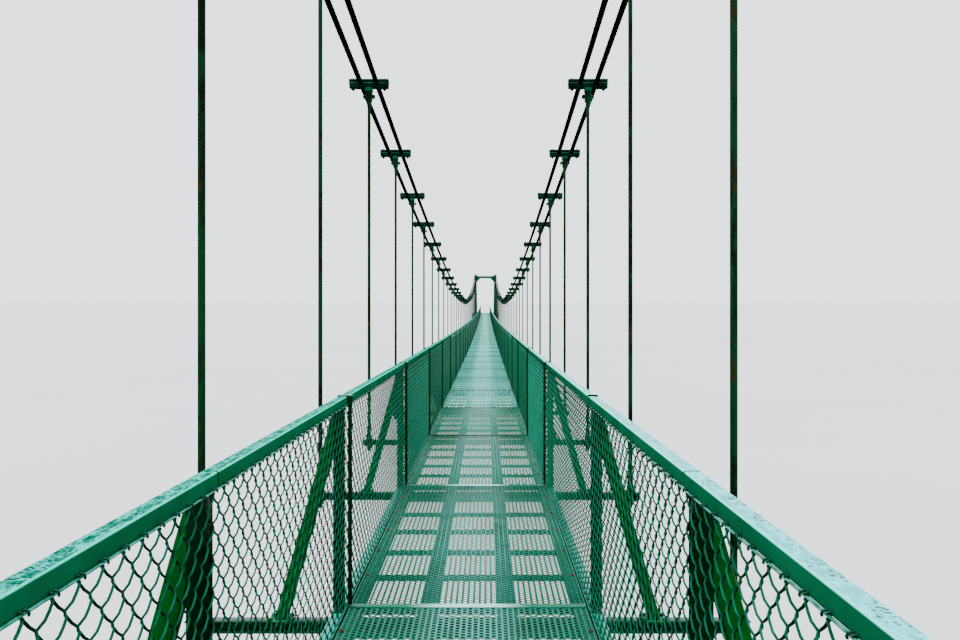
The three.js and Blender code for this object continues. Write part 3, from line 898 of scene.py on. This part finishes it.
def expanded_metal(y0, y1, column, row, strand_width, bar_width, height, swing_share):
    """Strands along the bridge joined by short tilted bars, with the openings staggered."""
    half = PANEL_HALF - RIM_LIP
    strands = round(2 * half / column)
    column = 2 * half / strands
    rows = 2 * round((y1 - y0) / row)
    steps = np.arange(rows + 1)
    y = y0 + (y1 - y0) * steps / rows
    z = np.interp(y, (y0, y1), (deck_height(y0), deck_height(y1)))
    lines = np.arange(strands + 1)[:, None]
    swing = swing_share * column * (1 - 2 * ((lines + steps) % 2))
    x = np.clip(lines * column - half + swing, -half, half)
    section = [(strand_width / 2, 0), (-strand_width / 2, 0), (0, -height)]
    bends = steps if swing_share else steps[[0, -1]]
    mesh = Solid()
    for line in x:
        mesh.join(sweep(np.stack([line[bends], y[bends], z[bends]], -1), section))
    gap, step = np.nonzero((lines[:-1] + steps) % 2)
    back = bar_width / 2
    ring = np.array([(0, -back, -height), (0, back, 0), (0, back, -height)])
    ends = [np.stack([x[line, step], y[step], z[step]], -1)[:, None] for line in (gap, gap + 1)]
    first = 6 * np.arange(len(gap))[:, None]
    quads = [first + (k, 3 + k, 3 + (k + 1) % 3, (k + 1) % 3) for k in range(3)]
    return mesh.add(np.concatenate([end + ring for end in ends], 1), quads,
                    [first + (0, 1, 2), first + (3, 5, 4)])


def make_grating():
    meshes, nearest = [Solid() for _ in STRETCHES], Solid()
    for bay in range(len(BAYS)):
        y0 = PANEL_JOINTS[bay] + JOINT_BAR_WIDTH / 2 + JOINT_GAP
        y1 = PANEL_JOINTS[bay + 1] - JOINT_BAR_WIDTH / 2
        target = nearest if bay < NEAR_GRATING_BAYS else meshes[stretch_index((y0 + y1) / 2)]
        if bay == FINE_GRATING_BAY:
            fine_start = y0 + FINE_GRATING_START
            target.join(expanded_metal(y0, fine_start, *GRATING_GRADES[3]))
            y0 = fine_start
        target.join(expanded_metal(y0, y1, *grade_of(GRATING_GRADES, bay)))
    nearest.join(expanded_metal(-DECK_END, PANEL_JOINTS[0], *GRATING_GRADES[0]))
    meshes[-1].join(expanded_metal(PANEL_JOINTS[-1], DECK_END, *GRATING_GRADES[0]))
    dress(nearest, "expanded_metal_near", "mesh", "deck_grating_1")
    # Past the nearest bays the expanded metal takes a paler copy of the mesh paint: painted sky
    # reflection on the far deck.
    for number, mesh in enumerate(meshes, 1):
        dress(mesh, f"expanded_metal_{number}", "far_mesh", f"deck_grating_{number}")


make_grating()


# Railings

RAIL_TOP = 1105
RAIL_BOTTOM = 1058
RAIL_SEAM = 10
RAIL_SEAM_PAST_POST = 35
SHORTEST_RAIL = 1000
POST_INNER = 641
POST_OUTER = 693
POST_FOOT = 6
BRACE_TOP = 1050
BRACE_DEPTH = 225
BRACE_FOOT_INNER = 935
BRACE_FOOT_OUTER = 998
BAR_INNER = 610
BAR_PAST_POST = 50
FIRST_CLAMPED = {-1: 2, 1: 3}
FIRST_STRAPPED = 2
# The right rail's straps take a near-black paint as painted shade in the rail joints; the left ones
# take the clamping bar paint.
STRAP_LOOKS = {-1: "clamping", 1: "strap"}


def post_template():
    """Post with its foot plate, head plate and bolts, drawn for the right side."""
    middle = (POST_INNER + POST_OUTER) / 2
    return Solid().join(
        block(POST_INNER, POST_OUTER, -30, 30, POST_FOOT, RAIL_BOTTOM + 2, 4),
        block(POST_INNER, POST_OUTER, -62, 62, POST_FOOT, POST_FOOT + 10, 2),
        *[nut((middle, y, POST_FOOT + 16), 22, 14) for y in (-47, 47)],
        block(POST_INNER - 4, POST_OUTER, -44, 44, RAIL_BOTTOM - 8, RAIL_BOTTOM, 2))


def brace_template(foot):
    """Outrigger brace from the post head down to the floor beam, for the right side."""
    outline = [(POST_OUTER - 3, BRACE_TOP), (POST_OUTER - 3, BRACE_TOP - BRACE_DEPTH),
               (BRACE_FOOT_INNER, foot), (BRACE_FOOT_OUTER, foot)]
    return extruded(outline, 1, -30, 30, 3).join(
        block(BRACE_FOOT_INNER - 30, BRACE_FOOT_OUTER + 30, -44, 44, foot, foot + 10, 2),
        *[nut((x, y, foot + 16), 20, 12)
          for x in (BRACE_FOOT_INNER - 17, BRACE_FOOT_OUTER + 15) for y in (-28, 28)])


def clamping_bar_template():
    """Flat bar that holds the netting to a post, with its clasp on the rail, right side."""
    bar = block(BAR_INNER, NETTING_X - 3, -10, 10, 8, RAIL_BOTTOM, 1).join(
        block(BAR_INNER - 3, RAIL_INNER + 2, -18, 18, RAIL_BOTTOM - 12, RAIL_TOP + 2, 2),
        *[nut((BAR_INNER - 2, 0, share * RAIL_BOTTOM), 15, 8, False) for share in (0.1, 0.5, 0.9)])
    return Solid().copies(bar, [(0, BAR_PAST_POST, 0)])


def along_side(drawn, side, places):
    """A solid drawn for the right side, repeated along the deck on one side."""
    return Solid().copies(drawn.on_side(side), on_deck(places))


def make_railings():
    shelf = real_box("near_right_tower_leg")[0].z - DECK_END_HEIGHT
    post, on_beam, on_shelf = post_template(), brace_template(BEAM_TOP), brace_template(shelf)
    bar = clamping_bar_template()
    strap = block(RAIL_INNER - 1, RAIL_OUTER + 2, -22, 22, RAIL_TOP - 2, RAIL_TOP + 5, 1)
    section = rounded_rectangle(RAIL_OUTER - RAIL_INNER, RAIL_TOP - RAIL_BOTTOM, 6, 3)
    x, z = (RAIL_INNER + RAIL_OUTER) / 2, (RAIL_TOP + RAIL_BOTTOM) / 2
    for name, side in SIDES:
        clamped = STATIONS[FIRST_CLAMPED[side]:-FIRST_CLAMPED[side]]
        for number, start, end in STRETCHES:
            stations = [y for y in STATIONS if start < y < end]
            seams = [y + RAIL_SEAM_PAST_POST for y in stations if y > start + SHORTEST_RAIL]
            strapped = [y for y in seams if abs(y) < -STATIONS[FIRST_STRAPPED]]
            node = f"{name}_railing_{number}"
            rails, braces = Solid(), Solid()
            for y0, y1 in zip([start, *seams], [*seams, end]):
                rails.join(along_deck(y0 + RAIL_SEAM / 2, y1 - RAIL_SEAM / 2, side * x, z, section))
            for y in stations:
                brace = on_shelf if y in (STATIONS[0], STATIONS[-1]) else on_beam
                braces.copies(brace.on_side(side), on_deck([y]))
            bars = along_side(bar, side, [y for y in clamped if y in stations])
            for piece, look, solid, smooth_angle in (
                    ("clamping_bars", "clamping", bars, None),
                    ("rail_straps", STRAP_LOOKS[side], along_side(strap, side, strapped), None),
                    ("top_rail", f"{name}_rail", rails, 40),
                    ("posts", "post", along_side(post, side, stations), None),
                    ("braces", "brace", braces, None)):
                dress(solid, f"{name}_{piece}_{number}", look, node, smooth_angle=smooth_angle)


make_railings()


# Chain-link netting

# Grades of netting: diamonds and half drops in a full bay, wire radius, sides of the wire,
# and rings for each half drop, by the first bay that has the grade
NETTING_GRADES = {
    0: (34, 24, 3.0, 4, 4),
    3: (34, 24, 4.2, 3, 2),
    4: (34, 24, 4.2, 3, 1),
    6: (23, 16, 5.6, 3, 1),
    10: (16, 12, 8.0, 3, 1),
    20: (12, 8, 10.0, 3, 1),
}
NEAR_NETTING_BAYS = 3
HOOKED_BAYS = 6
NETTING_BOW = 1.7
NETTING_DEPTH = 5
NETTING_TOP = RAIL_BOTTOM + 1
NETTING_BOTTOM = 14
LACING_HEIGHT = RAIL_BOTTOM + 2
LACING_X = 626
HOOK_RADIUS = 6.5
HOOK_LENGTH = 9


def netting_panel(side, y0, y1, diamonds, drops, radius, sides, rings):
    """Zigzag wires that hook into one another, bowed where they run on the walkway side."""
    wires = 2 * round(diamonds * (y1 - y0) / FULL_BAY)
    reach = (y1 - y0) / wires / 2
    drop, ring = np.divmod(np.arange(drops * rings + 1), rings)
    place, swing = ring / rings, 1 - 2 * (drop % 2)
    depth = np.where((ring > 0) | (rings == 1), swing, 0)
    depth[-1] = 0
    height = NETTING_TOP - (NETTING_TOP - NETTING_BOTTOM) * (drop + place) / drops
    section = round_section(radius, sides, math.pi / 4)
    panel = Solid()
    for wire in range(wires):
        flip = -1 if wire % 2 else 1
        share = swing * (1 - 2 * place ** np.where(swing * flip < 0, NETTING_BOW, 1))
        y = np.clip(y0 + reach * (2 * wire + 1 - flip * share), y0, y1)
        deck = np.interp(y, (y0, y1), (deck_height(y0), deck_height(y1)))
        x = side * (NETTING_X + flip * NETTING_DEPTH * depth)
        panel.join(sweep(np.stack([x, y, deck + height], -1), section))
    return panel


def hook_template(side):
    """Two wire ends that twist over the line wire and leave a short barb."""
    turns, places = np.linspace(-1.9, 4.0, 9), np.linspace(-0.5, 0.5, 9)
    loop = np.stack([side * HOOK_RADIUS * np.cos(turns), HOOK_LENGTH * places,
                     HOOK_RADIUS * np.sin(turns)], -1)
    barb = [(0, -3, -2), (-side * 2, -9, 5), (0, -15, 9)]
    return sweep(loop, round_section(2.6, 4), (0, 1, 0)).join(sweep(barb, round_section(2.4, 4)))


def make_netting():
    wire = round_section(3.2, 6)
    for name, side in SIDES:
        meshes, nearest, hooks = [Solid() for _ in STRETCHES], Solid(), Solid()
        hook = hook_template(side)
        for bay, (y0, y1) in enumerate(zip(STATIONS, STATIONS[1:])):
            grade = grade_of(NETTING_GRADES, bay)
            target = nearest if bay < NEAR_NETTING_BAYS else meshes[stretch_index((y0 + y1) / 2)]
            target.join(netting_panel(side, y0, y1, *grade))
            if bay < HOOKED_BAYS:
                count = round(grade[0] * (y1 - y0) / FULL_BAY)
                places = np.linspace(y0, y1, count + 1)[:-1]
                hooks.copies(hook, on_deck(places, side * LACING_X, LACING_HEIGHT))
        meshes[0].join(netting_panel(side, -DECK_END, -HALF_SPAN, *NETTING_GRADES[3]))
        meshes[-1].join(netting_panel(side, HALF_SPAN, DECK_END, *NETTING_GRADES[6]))
        for mesh, (number, start, end) in zip(meshes, STRETCHES):
            node = f"{name}_netting_{number}"
            # The far netting takes a brighter copy of the wire paint than the nearest bays.
            dress(mesh, f"{name}_netting_wires_{number}", "far_netting", node)
            lacing = along_deck(start, end, side * LACING_X, LACING_HEIGHT, wire)
            lacing.join(along_deck(start, end, side * (LACING_X + 2), NETTING_BOTTOM, wire))
            dress(lacing, f"{name}_lacing_wires_{number}", "lacing", node)
        dress(nearest, f"{name}_netting_wires_near", "netting", f"{name}_netting_1")
        dress(hooks, f"{name}_netting_hooks", "knot", f"{name}_netting_1")


make_netting()


# Towers, anchors and abutments keep their solids and get plates, bolts and sockets

PLATE_OVERHANG = 120
HEAD_OVERHANG = 30
CHEEK = 14
ANCHOR_PLATE = 30
ANCHOR_SOCKET = ((20, 30), (100, 30), (101, 52), (340, 52), (360, 44), (620, 26), (660, 24))


def dress_frame_nodes():
    for node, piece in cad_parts.items():
        look = "concrete" if "abutment" in node or "anchor" in node else "tower"
        piece.data.materials.clear()
        piece.data.materials.append(LOOKS[look])


dress_frame_nodes()


def leg_plates_template():
    """Base plate, stiffeners, bolts and head plates of the far right leg."""
    half, height = (leg_high.x - leg_low.x) / 2, leg_high.z - leg_low.z
    reach, head = half + PLATE_OVERHANG, half + HEAD_OVERHANG
    plates = pad(reach, reach, 0, 25, 4)
    outline = [(half - 2, 20), (reach - 15, 20), (half - 2, 300)]
    for angle in (0, 180, 90, 270):
        for y in (-0.6 * half, 0.6 * half):
            rib = extruded(outline, 1, y - 6, y + 6)
            plates.join(rib.turned(Matrix.Rotation(math.radians(angle), 4, "Z")))
    for x in (45 - reach, reach - 45):
        for y in (45 - reach, reach - 45):
            plates.join(nut((x, y, 45), 60, 40), rod((x, y, 60), (x, y, 95), 18, 10))
    plates.join(pad(head, head, height - 60, height, 4))
    return Solid().copies(plates, [(ROPE_PLANE, HALF_SPAN, leg_low.z)])


def saddle_plates_template():
    """Cheeks and keeper straps that hold the ropes on the far right saddle."""
    low, high = real_box("far_right_rope_saddle")
    crown = [(y, z + 45) for y, z in SADDLE_ARC]
    outline = [(SADDLE_ARC[0][0], low.z + 10), (SADDLE_ARC[-1][0], low.z + 10), *reversed(crown)]
    plates = Solid()
    for x in (low.x - CHEEK, high.x):
        plates.join(extruded(outline, 0, x, x + CHEEK, 2))
    for share in (0.12, 0.5, 0.88):
        y, z = (np.interp(share * SADDLE_STEPS, range(SADDLE_STEPS + 1), places)
                for places in zip(*crown))
        plates.join(
            block(low.x - CHEEK, high.x + CHEEK, y - 25, y + 25, z - 18, z - 4, 2),
            *[nut((x, y, z + 6), 34, 20) for x in (low.x - 2, (low.x + high.x) / 2, high.x + 2)])
    return plates


def anchor_fittings_template():
    """Bearing plate, sockets and threaded rods where the far right ropes meet their block."""
    cos, sin = math.cos(BACKSTAY_ANGLE), math.sin(BACKSTAY_ANGLE)
    out, rise = np.array([0, -cos, sin]), np.array([0, sin, cos])
    start = np.array([ROPE_PLANE, ANCHOR_Y, ANCHOR_HEIGHT])
    fittings = sweep([start, start + out * ANCHOR_PLATE], rounded_rectangle(600, 440))
    for side in (-1, 1):
        foot = start + (side * ROPE_HALF_SPACING, 0, 0)
        fittings.join(spindle(foot, out, ANCHOR_SOCKET, 14))
        for bar in (foot - (75, 0, 0), foot + (75, 0, 0)):
            fittings.join(
                rod(bar, bar + out * 420, 13),
                *[rod(bar + out * (far - 28), bar + out * far, 24, 6) for far in (64, 384)])
        yoke = foot + out * 330
        fittings.join(sweep([yoke, yoke + out * 26], rounded_rectangle(200, 110, 10, 2)))
    for dx in (-240, 240):
        for dz in (-160, 160):
            place = start + (dx, 0, 0) + rise * dz + out * ANCHOR_PLATE
            fittings.join(rod(place, place + out * 24, 26, 6), rod(place, place + out * 55, 13))
    return fittings


def crossbeam_plates_template():
    """End plates, bolts and web stiffeners of the far crossbeam."""
    low, high = real_box("far_tower_crossbeam")
    middle = (low.y + high.y) / 2
    plates = Solid()
    for x, inward in ((low.x, 1), (high.x, -1)):
        plates.join(
            block(x, x + inward * 20, low.y - 30, high.y + 30, low.z - 20, high.z + 20, 3),
            *[nut((x + inward * 30, y, z), 32, 18, False) for y in (middle - 115, middle + 115)
              for z in np.linspace(low.z + 40, high.z - 40, 5)])
    for share in (0.25, 0.5, 0.75):
        x = low.x + (high.x - low.x) * share
        plates.join(block(x - 7, x + 7, low.y - 12, high.y + 12, high.z - 330, high.z + 6, 2))
    return plates


def make_tower_details():
    beam = crossbeam_plates_template()
    details = (("leg_plates", leg_plates_template()), ("saddle_plates", saddle_plates_template()),
               ("anchor_fittings", anchor_fittings_template()))
    for end, end_sign in ENDS:
        dress(beam.turned(Matrix.Diagonal((1, end_sign, 1, 1))), f"{end}_crossbeam_plates", "tower")
        for name, side in SIDES:
            turn = Matrix.Diagonal((side, end_sign, 1, 1))
            for piece, solid in details:
                dress(solid.turned(turn), f"{end}_{name}_{piece}", "tower")


make_tower_details()


# Floor, light and world

FLOOR_HALF = 3000000


def make_stage():
    corners = [(x * FLOOR_HALF, y * FLOOR_HALF, 0) for x in (-1, 1) for y in (-1, 1)]
    floor = Solid().add(corners, [(0, 2, 3, 1)]).to_object("floor")
    look = Look("pale floor")
    colour = look.mix(look.patches(0.08, 3, 0.2, 0.8), (0.7, 0.71, 0.71), (0.74, 0.75, 0.75))
    floor.data.materials.append(look.finish(colour, 0.8, 0.1))

    world = bpy.data.worlds.new("studio")
    world.use_nodes = True
    background = world.node_tree.nodes["Background"]
    background.inputs["Color"].default_value = (0.9, 0.95, 1.0, 1.0)
    background.inputs["Strength"].default_value = 2.5
    bpy.context.scene.world = world

    sun = bpy.data.lights.new("soft key", "SUN")
    sun.energy = 2.0
    sun.angle = math.radians(40)
    key = placed("soft key", sun)
    key.rotation_euler = (math.radians(28), math.radians(-18), 0)


make_stage()
